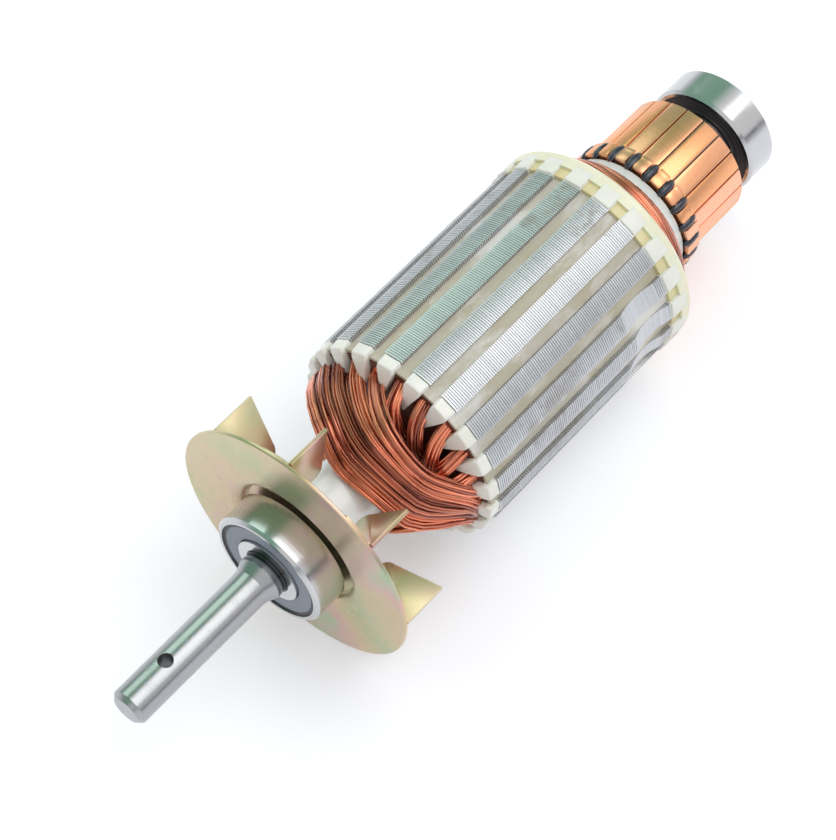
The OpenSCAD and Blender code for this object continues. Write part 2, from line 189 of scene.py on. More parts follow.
# finishes of the object's own surfaces
def turnedSteel(name, tone, rough, rings, axial=True, hole=None, neck=None):
    f = Finish(name, Metallic=1.0)
    x, y, z = f.xyz()
    marks = f.lathe(x if axial else f.radius(), rings)
    cloud = f.noise(60, 4)
    stain = f.noise(240, 6, 0.7).above(0.62, 0.2)
    skin = f.mix(cloud, tuple(c * 0.84 for c in tone), tone)
    # dark is a fifth of the tone, used for painted shade in the pin hole and at the neck
    dark = tuple(c * 0.2 for c in tone)
    # painted shade: the wall of the pin hole is coloured dark, as if in shadow
    if hole:
        holeShadeMask = (((x / mm - hole[0]) ** 2 + (y / mm) ** 2) ** 0.5).above(hole[1], 0.06)
        skin = f.mix(holeShadeMask, dark, skin)
    # painted shade: the neck of the shaft between the given x values is coloured dark, as if in shadow
    if neck:
        shadowed = (x / mm).above(neck[0], 0.3) * (1 - (x / mm).above(neck[1], 0.5))
        skin = f.mix(shadowed, skin, dark)
    f.colour(skin)
    f.rough(rough + marks * 0.12 + stain * 0.1 - 0.05)
    return f.bump(marks * 0.6 + cloud * 0.4, 0.14, 0.0001)


def zincYellow():
    f = Finish("yellowPassivate", **{"Metallic": 0.85, "Coat Weight": 0.3, "Coat Roughness": 0.12})
    drift = f.noise(34, 5, 0.6)
    veil = f.noise(90, 4, 0.6)
    hue = f.ramp(drift, (0.3, (0.34, 0.46, 0.24)), (0.42, (0.55, 0.48, 0.26)), (0.5, (0.62, 0.47, 0.28)),
                 (0.58, (0.64, 0.39, 0.34)), (0.68, (0.38, 0.5, 0.3)))
    f.colour(f.mix(veil.above(0.6, 0.4) * 0.35, hue, (0.7, 0.66, 0.52)))
    scratch = f.noise(700, 2, 0.5, (1, 0.1, 1))
    f.rough(0.22 + veil * 0.14)
    return f.bump(scratch * 0.4 + drift, 0.1, 0.0002)


def moulded(name, tone, shade, rough, coat=0.3, scatter=0.0, grain=500, level=0.08):
    f = Finish(name, **{"Coat Weight": coat, "Coat Roughness": 0.1, "Subsurface Weight": scatter,
                        "Subsurface Scale": 0.002})
    broad = f.noise(70, 4, 0.6)
    fine = f.noise(grain, 4, 0.6)
    f.colour(f.mix(broad.above(0.5, 0.45), tone, shade))
    f.rough(rough + fine * 0.14)
    return f.bump(fine + broad * 2, level, 0.0003)


def sheetEdges():
    f = Finish("laminationSteel", Metallic=0.9)
    sheet = f.attribute("sheetTone")
    cloud = f.noise(45, 4, 0.6)
    speck = f.noise(900, 3, 0.6)
    tone = f.ramp(sheet * 0.2 + cloud * 0.6 + speck * 0.2, (0.2, (0.48, 0.49, 0.51)), (0.5, (0.6, 0.61, 0.63)),
                  (0.85, (0.7, 0.71, 0.73)))
    rust = (f.noise(160, 5, 0.7) * f.noise(30, 2)).above(0.36, 0.06)
    f.colour(f.mix(rust * 0.3, tone, (0.42, 0.35, 0.3)))
    f.rough(0.38 + speck * 0.1 + rust * 0.2)
    return f.bump(speck, 0.06, 0.0001)


def milledFace():
    f = Finish("milledSteel", Metallic=1.0)
    cut = f.noise(300, 3, 0.5, (0.2, 1, 1))
    f.colour(f.mix(cut, (0.76, 0.77, 0.8), (0.9, 0.91, 0.94)))
    f.rough(0.16 + cut * 0.12)
    return f.bump(cut, 0.1, 0.0001)


def enamelled(name, bright, dark):
    f = Finish(name, **{"Metallic": 0.88, "Coat Weight": 0.6, "Coat Roughness": 0.07, "Coat IOR": 1.5})
    wire = f.attribute("wireTone")
    patch = f.noise(120, 4, 0.6)
    tone = f.ramp(wire * 0.62 + patch * 0.38, (0.2, dark), (0.55, bright),
                  (0.85, tuple(min(1, c * 1.25) for c in bright)))
    f.colour(tone)
    f.rough(0.22 + patch * 0.12)
    return f.bump(f.noise(1200, 3), 0.06, 0.0001)


def shadedPackedCopper():
    f = Finish("shadedPackedCopper", **{"Metallic": 0.6, "Coat Weight": 0.5, "Coat Roughness": 0.2})
    x, y, z = f.xyz()
    rows = f.lathe(x * 0.6 + f.radius(), 1400, 2)
    patch = f.noise(90, 4, 0.6)
    # painted shade: the packed copper is coloured near black, standing in for the shade deep between the wires
    f.colour(f.mix(rows * 0.6 + patch * 0.4, (0.05, 0.015, 0.012), (0.26, 0.08, 0.05)))
    f.rough(0.4 + patch * 0.2)
    return f.bump(rows, 0.5, 0.0004)


def barCopper():
    f = Finish("turnedCopper", Metallic=1.0)
    x, y, z = f.xyz()
    marks = f.lathe(x, 9000, 5)
    heat = f.noise(55, 3, 0.55)
    bar = f.attribute("barTone")
    tone = f.ramp(heat * 0.5 + bar * 0.5, (0.25, (0.88, 0.38, 0.14)), (0.5, (0.92, 0.43, 0.22)),
                  (0.75, (0.95, 0.5, 0.33)))
    f.colour(f.mix(marks * 0.2, tone, (0.95, 0.62, 0.45)))
    f.rough(0.2 + marks * 0.14 + heat * 0.05)
    return f.bump(marks, 0.16, 0.0001)


def slotFilm(name, tone, shade):
    f = Finish(name, **{"Coat Weight": 0.4, "Coat Roughness": 0.25})
    fibre = f.noise(260, 4, 0.6, (0.15, 1, 1))
    cloud = f.noise(50, 3)
    spot = f.noise(150, 5, 0.65, (0.4, 1, 1)).above(0.56, 0.14)
    f.colour(f.mix(spot * 0.7, f.mix(cloud.above(0.5, 0.3), f.mix(fibre, shade, tone), shade), (0.8, 0.79, 0.76)))
    f.rough(0.42 + fibre * 0.2)
    return f.bump(fibre, 0.2, 0.0002)


def varnishedTape():
    f = Finish("varnishedTape", **{"Coat Weight": 0.5, "Coat Roughness": 0.2})
    x, y, z = f.xyz()
    turn = f.node("ShaderNodeMath", dict(operation="ARCTAN2"), {0: z, 1: y})
    weave = (x * 9000).op("SINE") * (turn * 160).op("SINE")
    stain = f.noise(70, 5, 0.65)
    f.colour(f.mix(stain.above(0.55, 0.4), (0.88, 0.89, 0.86), (0.6, 0.64, 0.6)))
    f.rough(0.35 + stain * 0.25)
    return f.bump(weave * 0.3 + stain, 0.3, 0.0003)


def sealRubber(name, tone, shade):
    f = Finish(name, **{"Coat Weight": 0.2, "Coat Roughness": 0.3})
    r = f.radius() / mm
    ripple = (r * 5.2).op("SINE")
    dust = f.noise(400, 4, 0.6)
    # painted shade: the seal is coloured near black at its inner and outer edges, where it meets the rings, as if in
    # the shadow of the gaps
    shadedGroove = r.above(10.85, 0.12) + (1 - r.above(7.15, 0.12))
    f.colour(f.mix(shadedGroove.clamped(), f.mix(dust * 0.6, tone, shade), (0.015, 0.015, 0.02)))
    f.rough(0.42 + dust * 0.15)
    return f.bump(ripple * 0.3 + dust * 0.4 - shadedGroove * 0.8, 0.3, 0.0003)


print("finishes")
# the shaft gets painted shade in its pin hole at x 31.6 mm and at its neck from x 3.2 to 5.0 mm
shaftSteel = turnedSteel("groundSteel", (0.42, 0.425, 0.435), 0.24, 5000, True, (31.6, 1.56), (3.2, 5.0))
ringSteel = turnedSteel("bearingSteel", (0.6, 0.6, 0.61), 0.14, 3000)
innerSteel = turnedSteel("innerRingSteel", (0.7, 0.71, 0.72), 0.2, 4000, False)
ballSteel = turnedSteel("polishedBalls", (0.8, 0.8, 0.82), 0.08, 100)
cageSteel = turnedSteel("pressedCage", (0.62, 0.56, 0.45), 0.35, 2000)
passivate = zincYellow()
whiteSleeve = moulded("whiteSleeve", (0.93, 0.94, 0.93), (0.87, 0.89, 0.87), 0.16, 0.6, 0.1)
ivory = moulded("ivoryMoulding", (0.9, 0.89, 0.83), (0.82, 0.81, 0.72), 0.25, 0.4, 0.15)
whitePads = moulded("whitePads", (0.86, 0.86, 0.8), (0.8, 0.8, 0.7), 0.35, 0.2, 0.1)
yellowRing = moulded("yellowRing", (0.88, 0.87, 0.68), (0.8, 0.77, 0.52), 0.28, 0.3, 0.25)
amberFill = moulded("amberFill", (0.8, 0.72, 0.42), (0.66, 0.56, 0.26), 0.25, 0.4, 0.2)
darkMoulding = moulded("darkMoulding", (0.004, 0.005, 0.012), (0.01, 0.013, 0.03), 0.1, 0.6, 0, 900, 0.5)
linerFilm = slotFilm("linerFilm", (0.84, 0.8, 0.64), (0.72, 0.66, 0.46))
wedgeFilm = slotFilm("wedgeFilm", (0.6, 0.58, 0.53), (0.49, 0.44, 0.31))
tape = varnishedTape()
greySeal = sealRubber("greySeal", (0.2, 0.225, 0.27), (0.3, 0.33, 0.38))
blackSeal = sealRubber("blackSeal", (0.025, 0.025, 0.03), (0.07, 0.07, 0.075))
sheetSteel = sheetEdges()
milled = milledFace()
copperWire = enamelled("enamelledCopper", (0.84, 0.27, 0.15), (0.2, 0.045, 0.03))
# darker copper for the lead wires by the hooks
leadCopper = enamelled("darkLeadCopper", (0.5, 0.16, 0.09), (0.1, 0.035, 0.025))
# painted shade: near-black faces of the sheets, seen only in the thin gaps between them
paintedGapShade = moulded("paintedGapShade", (0.03, 0.036, 0.04), (0.012, 0.015, 0.018), 0.5, 0.1)
shadedCoilFill = shadedPackedCopper()
copperBars = barCopper()


# mesh helpers
def makeObject(name, mesh, *materials):
    obj = bpy.data.objects.new(name, mesh)
    bpy.context.scene.collection.objects.link(obj)
    for m in materials:
        mesh.materials.append(m)
    return obj


def meshFrom(name, points, faces=(), edges=()):
    mesh = bpy.data.meshes.new(name)
    mesh.from_pydata([tuple(c * mm for c in p) for p in points], list(edges), list(faces))
    mesh.update()
    return mesh


def smooth(obj, angle=35):
    for p in obj.data.polygons:
        p.use_smooth = True
    obj.data.set_sharp_from_angle(angle=math.radians(angle))
    return obj


def bevelled(obj, width, segments=2, angle=30):
    mod = obj.modifiers.new("edges", "BEVEL")
    mod.width = width * mm
    mod.segments = segments
    mod.limit_method = "ANGLE"
    mod.angle_limit = math.radians(angle)
    shown = obj.evaluated_get(bpy.context.evaluated_depsgraph_get())
    mesh = bpy.data.meshes.new_from_object(shown)
    obj.modifiers.remove(mod)
    made = bmesh.new()
    made.from_mesh(mesh)
    bmesh.ops.dissolve_degenerate(made, dist=2e-6, edges=made.edges)
    made.to_mesh(mesh)
    made.free()
    obj.data = mesh
    return obj


def revolved(name, profile, material, sides=96):
    points, faces = [], []
    for k in range(sides):
        a = 2 * math.pi * k / sides
        points += [(x, r * math.cos(a), r * math.sin(a)) for r, x in profile]
    n = len(profile)
    for k in range(sides):
        m = (k + 1) % sides
        faces += [(k * n + i, k * n + (i + 1) % n, m * n + (i + 1) % n, m * n + i) for i in range(n)]
    obj = makeObject(name, meshFrom(name, points, faces), material)
    outward(obj)
    return smooth(obj)


def outward(obj):
    made = bmesh.new()
    made.from_mesh(obj.data)
    bmesh.ops.remove_doubles(made, verts=made.verts, dist=1e-7)
    bmesh.ops.recalc_face_normals(made, faces=made.faces)
    made.to_mesh(obj.data)
    made.free()


def prism(name, outline, low, high, axis="side"):
    # outline is in x and radius when the sweep goes aside, in y and z when it goes along the shaft
    n = len(outline)
    if axis == "side":
        points = [(x, r, low) for x, r in outline] + [(x, r, high) for x, r in outline]
    else:
        points = [(low, y, z) for y, z in outline] + [(high, y, z) for y, z in outline]
    faces = [tuple(range(n)), tuple(range(2 * n - 1, n - 1, -1))]
    faces += [(i, (i + 1) % n, n + (i + 1) % n, n + i) for i in range(n)]
    obj = makeObject(name, meshFrom(name, points, faces))
    outward(obj)
    return obj


class NodeTree:
    def __init__(self, name, **inputs):
        self.tree = bpy.data.node_groups.new(name, "GeometryNodeTree")
        self.ids = {}
        face = self.tree.interface
        face.new_socket("Geometry", in_out="INPUT", socket_type="NodeSocketGeometry")
        for key, kind in inputs.items():
            self.ids[key] = face.new_socket(key, in_out="INPUT", socket_type="NodeSocket" + kind).identifier
        face.new_socket("Geometry", in_out="OUTPUT", socket_type="NodeSocketGeometry")
        self.start = self.tree.nodes.new("NodeGroupInput")
        self.end = self.tree.nodes.new("NodeGroupOutput")

    def get(self, key):
        return self.start.outputs[key]

    def node(self, kind, settings=None, sockets=None, out=0):
        made = self.tree.nodes.new(kind)
        for key, value in (settings or {}).items():
            setattr(made, key, value)
        for key, value in (sockets or {}).items():
            if isinstance(value, bpy.types.NodeSocket):
                self.tree.links.new(value, made.inputs[key])
            else:
                made.inputs[key].default_value = value
        return made.outputs[out]

    def maths(self, operation, *values):
        return self.node("ShaderNodeMath", dict(operation=operation), dict(enumerate(values)))

    def close(self, geometry):
        real = self.node("GeometryNodeRealizeInstances", {}, {0: geometry})
        dressed = self.node("GeometryNodeSetMaterial", {}, {0: real, "Material": self.get("finish")})
        self.tree.links.new(dressed, self.end.inputs[0])
        return self

    def apply(self, obj, **values):
        mod = obj.modifiers.new(self.tree.name, "NODES")
        mod.node_group = self.tree
        for key, value in values.items():
            mod[self.ids[key]] = value
        shown = obj.evaluated_get(bpy.context.evaluated_depsgraph_get())
        mesh = bpy.data.meshes.new_from_object(shown)
        obj.modifiers.remove(mod)
        obj.data = mesh
        mesh.name = obj.name
        return obj


# copies of one part turned about the shaft, each with its own tone
def ringTree():
    t = NodeTree("turnedAboutShaft", count="Int", first="Float", step="Float", seed="Int", finish="Material")
    spots = t.node("GeometryNodeMeshLine", dict(mode="OFFSET"), {"Count": t.get("count"), "Offset": (0, 0, 0)})
    index = t.node("GeometryNodeInputIndex")
    angle = t.maths("ADD", t.maths("MULTIPLY", index, t.get("step")), t.get("first"))
    spin = t.node("ShaderNodeCombineXYZ", {}, {0: angle})
    placed = t.node("GeometryNodeInstanceOnPoints", {}, {
        "Points": spots, "Instance": t.get("Geometry"), "Rotation": spin})
    tone = t.node("FunctionNodeRandomValue", dict(data_type="FLOAT"), {2: 0.0, 3: 1.0, "Seed": t.get("seed")}, 1)
    toned = t.node("GeometryNodeStoreNamedAttribute", dict(data_type="FLOAT", domain="INSTANCE"), {
        "Geometry": placed, "Name": "barTone", "Value": tone})
    return t.close(toned)


# round wires along every chain of edges in a mesh
def wireTree():
    t = NodeTree("wiresAlongPaths", radius="Float", sides="Int", finish="Material")
    curve = t.node("GeometryNodeMeshToCurve", {}, {0: t.get("Geometry")})
    ring = t.node("GeometryNodeCurvePrimitiveCircle", {}, {"Resolution": t.get("sides"), "Radius": t.get("radius")})
    tube = t.node("GeometryNodeCurveToMesh", {}, {"Curve": curve, "Profile Curve": ring, "Fill Caps": True})
    return t.close(t.node("GeometryNodeSetShadeSmooth", {}, {0: tube}))


turnedCopies = ringTree()
wirePaths = wireTree()


def aroundShaft(obj, count, first, step, material, seed=1):
    return turnedCopies.apply(obj, count=count, first=math.radians(first), step=math.radians(step),
                              seed=seed, finish=material)


def wires(name, paths, radius, material, sides=6, seed=5):
    tones = random.Random(seed)
    points, edges, tone = [], [], []
    for path in paths:
        edges += [(len(points) + i, len(points) + i + 1) for i in range(len(path) - 1)]
        tone += [tones.random()] * len(path)
        points += path
    mesh = meshFrom(name, points, edges=edges)
    mesh.attributes.new("wireTone", "FLOAT", "POINT").data.foreach_set("value", tone)
    return wirePaths.apply(makeObject(name, mesh), radius=radius * mm, sides=sides, finish=material)


def standFor(obj, slotName, *replaced):
    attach(obj, "rotor")
    if replaced:
        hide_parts(*replaced)


# a rounded path through a few points
def rounded(plan, per):
    path = []
    for k in range(len(plan) - 1):
        a, b, c, d = (plan[max(0, min(len(plan) - 1, k + n))] for n in (-1, 0, 1, 2))
        for j in range(per):
            t = j / per
            path.append(tuple(0.5 * (2 * q + (r - p) * t + (2 * p - 5 * q + 4 * r - s) * t * t
                                     + (3 * q - p - 3 * r + s) * t ** 3) for p, q, r, s in zip(a, b, c, d)))
    return path + [tuple(plan[-1])]


# the stack of laminations, sheet by sheet
print("laminations")
stack = dict(sheets=100, sheetThickness=0.425, rimPoints=5, bore=6.1, slotBottom=13.0, slotTop=22.2,
             bottomHalf=0.95, topHalf=2.05, openingHalf=1.375, jitter=0.012, seed=3,
             cuts=[(5, 7.5), (6, 6.0), (7, 8.0)], cutterRadius=13.0, cutDepth=1.1, cutFrom=22.5, cutHalf=2.9)


def starOutline(rim, rimPoints, openingHalf):
    points = []
    edge = math.sqrt(rim ** 2 - openingHalf ** 2)
    turn = math.degrees(math.asin(openingHalf / rim))
    for i in range(core["teeth"]):
        a = slotAt(i)
        for r, w in [(edge, -openingHalf), (stack["slotTop"], -openingHalf), (stack["slotTop"], -stack["topHalf"]),
                     (stack["slotBottom"], -stack["bottomHalf"]), (stack["slotBottom"], stack["bottomHalf"]),
                     (stack["slotTop"], stack["topHalf"]), (stack["slotTop"], openingHalf), (edge, openingHalf)]:
            points.append(ringPoint(0, r, a, w)[1:])
        for k in range(1, rimPoints):
            points.append(ringPoint(0, rim, a + turn + (slotStep - 2 * turn) * k / rimPoints)[1:])
    return points


def starMesh(name, outer, thickness):
    corners = core["teeth"] * 2
    inner = [ringPoint(0, stack["bore"] / math.cos(math.pi / corners), slotAt(0) + k * 360 / corners)[1:]
             for k in range(corners)]
    made = bmesh.new()
    sides = []
    for x in (-thickness / 2, thickness / 2):
        sides.append([[made.verts.new((x * mm, y * mm, z * mm)) for y, z in ring] for ring in (outer, inner)])
    for low, high in zip(*sides):
        for k in range(len(low)):
            m = (k + 1) % len(low)
            made.faces.new((low[k], low[m], high[m], high[k]))
    for side in sides:
        rim = [made.edges.get((ring[k], ring[(k + 1) % len(ring)])) for ring in side for k in range(len(ring))]
        bmesh.ops.triangle_fill(made, use_beauty=False, use_dissolve=False, edges=rim)
    bmesh.ops.recalc_face_normals(made, faces=made.faces)
    mesh = bpy.data.meshes.new(name)
    made.to_mesh(mesh)
    made.free()
    return mesh


def stackTree():
    t = NodeTree("stackOfSheets", count="Int", first="Vector", step="Vector", jitter="Float", seed="Int",
                 finish="Material")
    line = t.node("GeometryNodeMeshLine", dict(mode="OFFSET"), {
        "Count": t.get("count"), "Start Location": t.get("first"), "Offset": t.get("step")})
    wobble = t.node("FunctionNodeRandomValue", dict(data_type="FLOAT"), {2: -1.0, 3: 1.0, "Seed": t.get("seed")}, 1)
    spin = t.node("ShaderNodeCombineXYZ", {}, {0: t.maths("MULTIPLY", wobble, t.get("jitter"))})
    placed = t.node("GeometryNodeInstanceOnPoints", {}, {
        "Points": line, "Instance": t.get("Geometry"), "Rotation": spin})
    tone = t.node("FunctionNodeRandomValue", dict(data_type="FLOAT"), {2: 0.0, 3: 1.0, "Seed": 7}, 1)
    toned = t.node("GeometryNodeStoreNamedAttribute", dict(data_type="FLOAT", domain="INSTANCE"), {
        "Geometry": placed, "Name": "sheetTone", "Value": tone})
    return t.close(toned)


sheetPitch = (core["front"] - core["back"]) / stack["sheets"]
sheetOutline = starOutline(core["rim"], stack["rimPoints"], stack["openingHalf"])
laminations = makeObject("laminations", starMesh("sheet", sheetOutline, stack["sheetThickness"]))
stackTree().apply(laminations, count=stack["sheets"], first=((core["back"] + sheetPitch / 2) * mm, 0, 0),
                  step=(sheetPitch * mm, 0, 0), jitter=math.radians(stack["jitter"]), seed=stack["seed"],
                  finish=sheetSteel)


# balancing cuts: the rim is pulled down to the cutter's path and the sheets smear together there
def scoop(obj):
    touched = set()
    for v in obj.data.vertices:
        x, y, z = (c / mm for c in v.co)
        for tooth, offset in stack["cuts"]:
            a = math.radians(core["toothAngle"] - tooth * slotStep)
            side = -y * math.sin(a) + z * math.cos(a)
            up = y * math.cos(a) + z * math.sin(a)
            along = x - core["back"] - offset
            if up < stack["cutFrom"] or abs(side) > stack["cutHalf"] or abs(along) >= stack["cutterRadius"]:
                continue
            floor = core["rim"] - stack["cutDepth"] + stack["cutterRadius"] - math.sqrt(
                stack["cutterRadius"] ** 2 - along ** 2)
            if up > floor:
                centre = core["back"] + (math.floor((x - core["back"]) / sheetPitch) + 0.5) * sheetPitch
                v.co = ((centre + math.copysign(sheetPitch * 0.499, x - centre)) * mm,
                        (y - (up - floor) * math.cos(a)) * mm, (z - (up - floor) * math.sin(a)) * mm)
                touched.add(v.index)
    obj.data.materials.append(milled)
    obj.data.materials.append(paintedGapShade)
    for p in obj.data.polygons:
        if all(i in touched for i in p.vertices):
            p.material_index = 1
        # faces across the shaft show only in the gaps between sheets and get the near-black painted gap shade
        elif abs(p.normal.x) > 0.9:
            p.material_index = 2


scoop(laminations)
standFor(laminations, "lamination_steel", "lamination_stack")


# drive-end insulator: a moulded star with a bevelled block on every tooth
print("insulators")
block = dict(rim=23.9, shoulder=22.7, half=2.2, waist=20.2, waistHalf=1.35, tip=16.6, tipHalf=0.35,
             rise=2.4, rimRise=0.7, bevel=0.28, gap=0.03)
facePlate = dict(rim=23.3, rimPoints=4, openingHalf=1.4)


def blockMesh():
    plan = [(block["rim"], block["half"] - 0.25), (block["shoulder"], block["half"]),
            (block["waist"], block["waistHalf"]), (block["tip"], block["tipHalf"])]
    outline = plan + [(r, -w) for r, w in reversed(plan)]
    points = []
    for r, w in outline:
        points.append((core["front"] + block["gap"], r, w))
    for r, w in outline:
        t = (block["rim"] - r) / (block["rim"] - block["tip"])
        lift = block["rimRise"] + (block["rise"] - block["rimRise"]) * min(1, t * 1.35)
        points.append((plateFront + lift, r - 0.15 * (1 - t), w * 0.9))
    n = len(outline)
    faces = [tuple(range(n)), tuple(range(2 * n - 1, n - 1, -1))]
    faces += [(i, (i + 1) % n, n + (i + 1) % n, n + i) for i in range(n)]
    obj = makeObject("driveEndBlocks", meshFrom("block", points, faces))
    outward(obj)
    return bevelled(obj, block["bevel"], 3, 20)


blocks = aroundShaft(blockMesh(), core["teeth"], core["toothAngle"], slotStep, ivory, 11)
smooth(blocks, 50)
plateOutline = starOutline(facePlate["rim"], facePlate["rimPoints"], facePlate["openingHalf"])
drivePlate = makeObject("driveEndPlate", starMesh("drivePlate", plateOutline, core["plate"]))
drivePlate.data.transform(Matrix.Translation(((core["front"] + core["plate"] / 2) * mm, 0, 0)))
drivePlate.data.materials.append(ivory)
standFor(blocks, "ivory_plastic", "drive_end_insulator")
standFor(drivePlate, "ivory_plastic", "drive_end_insulator")


# commutator end: a white cap on every tooth, let into the ring, and the ring's fingers over the wedges
cap = dict(front=-90.7, back=-94.9, top=24.42, low=22.6, half=2.05, bevel=0.22)
finger = dict(front=-91.0, back=-94.2, top=23.75, low=22.5, half=1.5, bevel=0.15)


def aroundPads(name, size, first, material, seed):
    tab = prism(name, [(size["back"], size["low"]), (size["front"], size["low"]), (size["front"], size["top"]),
                       (size["back"], size["top"])], -size["half"], size["half"])
    bevelled(tab, size["bevel"], 2, 40)
    return smooth(aroundShaft(tab, core["teeth"], first, slotStep, material, seed), 50)


standFor(aroundPads("padCaps", cap, core["toothAngle"], whitePads, 41), "white_plastic")
standFor(aroundPads("ringFingers", finger, slotAngle, amberFill, 43), "yellow_plastic")


# drive-end winding head: every bundle is drawn wire by wire
print("winding head")
head = dict(wire=0.29, sides=5, slotRadius=20.0, slotHalf=1.05, slotDepth=1.9, freeHalf=1.5, freeDepth=1.35,
            steps=5, nearBundles=5, nearSpan=-6, nearWires=38, farBundles=4, farSlots=(5, 12), farWires=26,
            diveWires=34, diveTurns=(-30, -36, -36, -22, -8), lastDives=(9, 10, 11), lastTurn=-20,
            wander=0.2, twist=0.6, seed=21)

# the near bundles rise, run inwards and sweep round: first value and its step from bundle to bundle
sweep = dict(lift=((2.4, 3.3), (11.5, 1.6), (10.8, 1.35), (5.4, -0.6)),
             radius=((17.8, -0.15), (20.6, -3.0), (18.1, -1.0), (19.5, 0.2)),
             share=((0.0, 0.06), (0.31, 0.015), (0.62, 0.015), (0.87, -0.015)))
under = ((5.0, 18.4, 0.1), (12.0, 13.4, 0.33), (12.0, 13.4, 0.67), (5.0, 18.4, 0.9))
dive = ((5.3, 18.6, 0.12), (7.0, 15.9, 0.35), (6.8, 13.1, 0.65), (4.8, 10.0, 1.0))


def spread(count, rng):
    spots = []
    for k in range(count):
        r = math.sqrt((k + 0.5) / count)
        a = k * 2.39996 + rng.uniform(-0.3, 0.3)
        spots.append((r * math.cos(a), r * math.sin(a)))
    return spots


def ease(t):
    t = max(0.0, min(1.0, t))
    return t * t * (3 - 2 * t)


def bundle(middle, start, end, count, rng, bothEnds=True):
    low, r = core["front"], head["slotRadius"]
    plan = [(low - 2, r, start), (low + 0.3, r, start)]
    plan += [(low + lift, radius, start + (end - start) * share) for lift, radius, share in middle]
    if bothEnds:
        plan += [(low + 0.3, r, end), (low - 2, r, end)]
    track = [Vector(ringPoint(*p)) for p in rounded(plan, head["steps"])]
    last = len(track) - 1
    ahead = [(track[min(k + 1, last)] - track[max(k - 1, 0)]).normalized() for k in range(last + 1)]

    def carried(order):
        out, frames = Vector((0, track[order[0]].y, track[order[0]].z)), {}
        for k in order:
            out = (out - ahead[k] * out.dot(ahead[k])).normalized()
            frames[k] = (ahead[k].cross(out), out)
        return frames

    fromStart = carried(range(last + 1))
    fromEnd = carried(range(last, -1, -1)) if bothEnds else fromStart
    turn = math.copysign(1, fromStart[last // 2][1].dot(fromEnd[last // 2][1]))
    made = []
    for u, v in spread(count, rng):
        phase, twist = rng.uniform(0, 6.28), rng.uniform(-head["twist"], head["twist"])
        path = []
        for k, spot in enumerate(track):
            t = k / last
            free = ease(t * 3.5) * (ease((1 - t) * 3.5) if bothEnds else 1)
            a = twist * math.sin(math.pi * t)
            half = head["slotHalf"] + (head["freeHalf"] - head["slotHalf"]) * free
            depth = head["slotDepth"] + (head["freeDepth"] - head["slotDepth"]) * free
            side = (u * math.cos(a) - v * math.sin(a)) * half
            rise = (u * math.sin(a) + v * math.cos(a)) * depth
            side += head["wander"] * free * math.sin(phase + 9 * t)
            rise += head["wander"] * free * math.cos(2 * phase + 8 * t)
            w = ease(t * 2 - 0.5)
            across = fromStart[k][0] * (1 - w) + fromEnd[k][0] * w * turn
            up = fromStart[k][1] * (1 - w) + fromEnd[k][1] * w * turn
            path.append(tuple(spot + across * side + up * rise))
        made.append(path)
    return made


rng = random.Random(head["seed"])
paths = []
for i in range(head["nearBundles"]):
    middle = [(a + b * i, c + d * i, e + f * i) for (a, b), (c, d), (e, f) in zip(*sweep.values())]
    paths += bundle(middle, slotAt(i), slotAt(head["nearSpan"] - i), head["nearWires"], rng)
for i in range(head["farBundles"]):
    start, end = (slotAt(k + i) for k in head["farSlots"])
    paths += bundle([(a + i, b - 0.8 * i, c) for a, b, c in under], start, end, head["farWires"], rng)
for i, turn in enumerate(head["diveTurns"], 1):
    paths += bundle(dive, slotAt(-i), slotAt(-i) + turn, head["diveWires"], rng, False)
for i in head["lastDives"]:
    paths += bundle(dive, slotAt(i), slotAt(i) + head["lastTurn"], head["diveWires"], rng, False)
windingHead = wires("windingHead", paths, head["wire"], copperWire, head["sides"], 31)

# mound of copper under the wires, coloured near black as painted shade: radius and height above the plate
mound = ((7.45, 0.05), (20.0, 0.05), (17.4, 0.9), (13.5, 1.6), (11.2, 3.4), (7.45, 5.0))
headBase = revolved("windingBase", [(r, plateFront + lift) for r, lift in mound], shadedCoilFill)
standFor(windingHead, "enamelled_copper", "drive_end_winding")
standFor(headBase, "enamelled_copper", "drive_end_winding")


# commutator-end strands between the end ring and the band
print("commutator end")
tail = dict(wire=0.35, strands=70, near=-96.8, far=-103.15, outer=20.1, inner=16.75, sweep=120, steps=26,
            scatter=3, bow=0.5, seed=8)
rng = random.Random(tail["seed"])
paths = []
for k in range(tail["strands"]):
    start = k * 360 / tail["strands"] + rng.uniform(-tail["scatter"], tail["scatter"])
    bow = rng.uniform(0.0, tail["bow"])
    path = []
    for i in range(tail["steps"] + 1):
        t = i / tail["steps"]
        dip = math.sin(math.pi * t)
        x = tail["near"] + (tail["far"] - tail["near"]) * t + 0.25 * dip * math.sin(k * 1.7 + 6 * t)
        r = tail["outer"] + (tail["inner"] - tail["outer"]) * t ** 1.5 + 0.2 * dip + bow * dip
        path.append(ringPoint(x, r, start + tail["sweep"] * t))
    path.append(ringPoint(tail["far"] - 0.4, tail["inner"] - 0.9, start + tail["sweep"] + 3))
    paths.append(path)
tailStrands = wires("tailStrands", paths, tail["wire"], copperWire, 6, 12)
standFor(tailStrands, "enamelled_copper")


